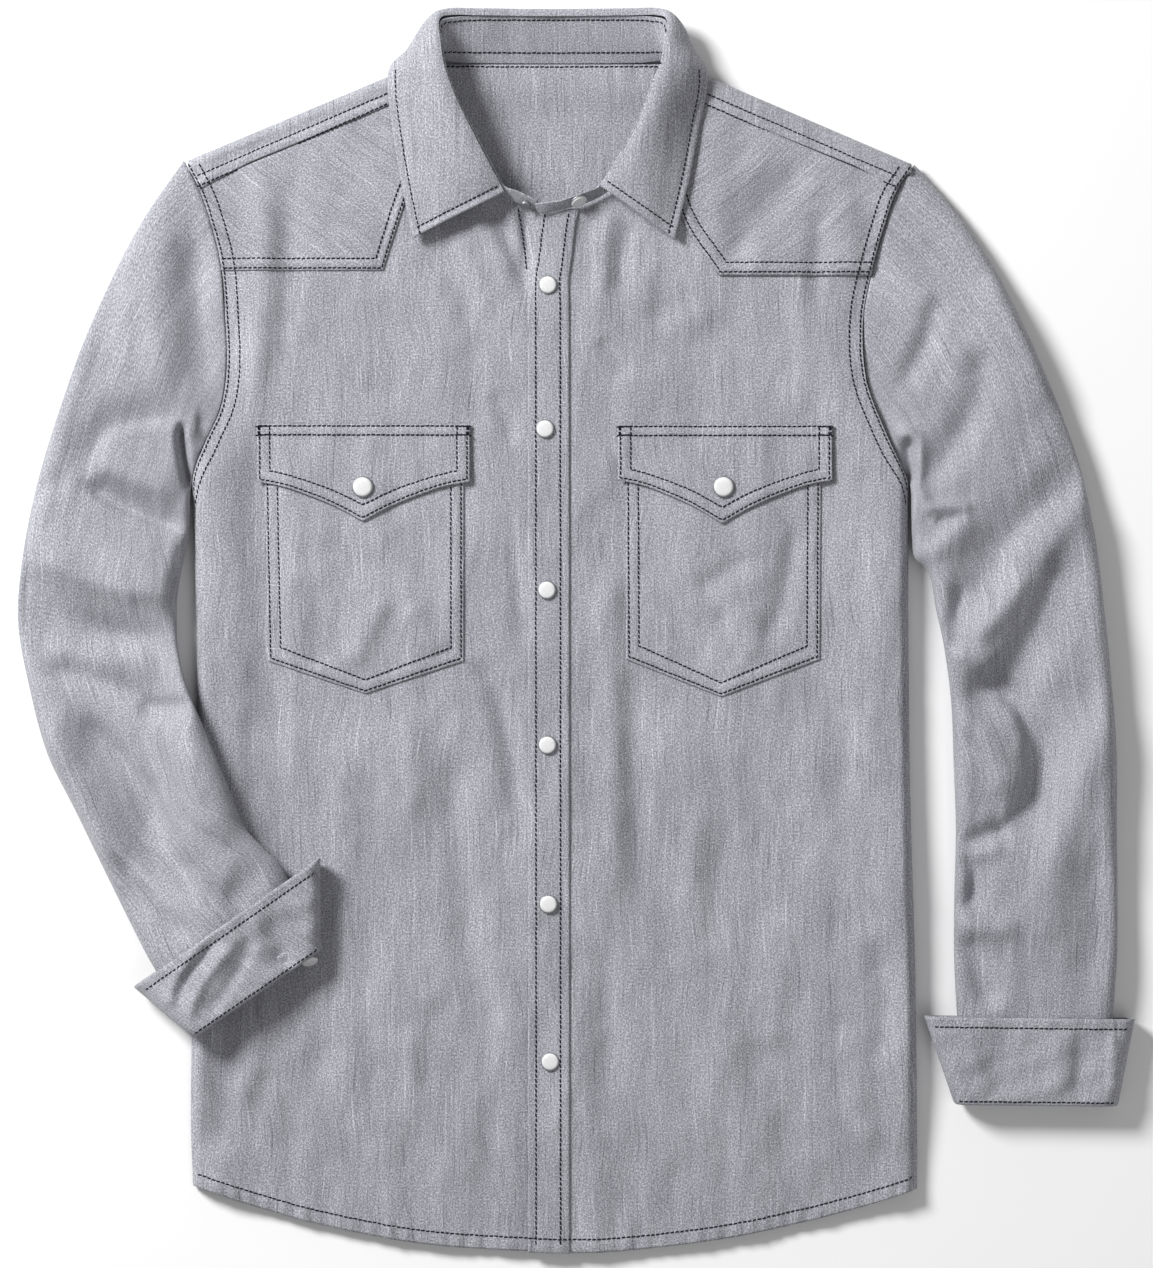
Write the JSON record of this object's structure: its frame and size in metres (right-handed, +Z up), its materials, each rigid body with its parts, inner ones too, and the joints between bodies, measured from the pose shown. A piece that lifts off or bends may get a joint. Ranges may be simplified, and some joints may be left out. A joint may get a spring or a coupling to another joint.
{
  "type": "western snap shirt, laid flat",
  "caption": "Long-sleeve western snap shirt laid flat, with pointed front yokes, flap pockets, turned back cuffs and one sleeve bent over the front.",
  "frame": {"origin": "centre of the bounding box in plan, on the surface the shirt lies on", "axes": "+X to the wearer's left, +Y from the hem to the collar, +Z up from the surface"},
  "size_m": [0.704, 0.7852, 0.0388],
  "materials": {
    "chambray": "matte slub weave",
    "pearl": "pearl gloss",
    "metal": "polished"
  },
  "bodies": {
    "root": {"back": "chambray", "collar_leaf": "chambray", "collar_stand": "chambray", "cuff_left": "chambray", "cuff_right": "chambray", "flap_left": "chambray", "flap_right": "chambray", "front_left": "chambray", "front_right": "chambray", "placket": "chambray", "pocket_left": "chambray", "pocket_right": "chambray", "sleeve_left": "chambray", "sleeve_right": "chambray", "snap_collar": "pearl", "snap_cuff_right": "pearl", "snap_flap_left": "pearl", "snap_flap_right": "pearl", "snap_placket_1": "pearl", "snap_placket_2": "pearl", "snap_placket_3": "pearl", "snap_placket_4": "pearl", "snap_placket_5": "pearl", "snap_placket_6": "pearl", "stud_collar": "metal", "yoke_back": "chambray", "yoke_front_left": "chambray", "yoke_front_right": "chambray"}
  },
  "joints": []
}
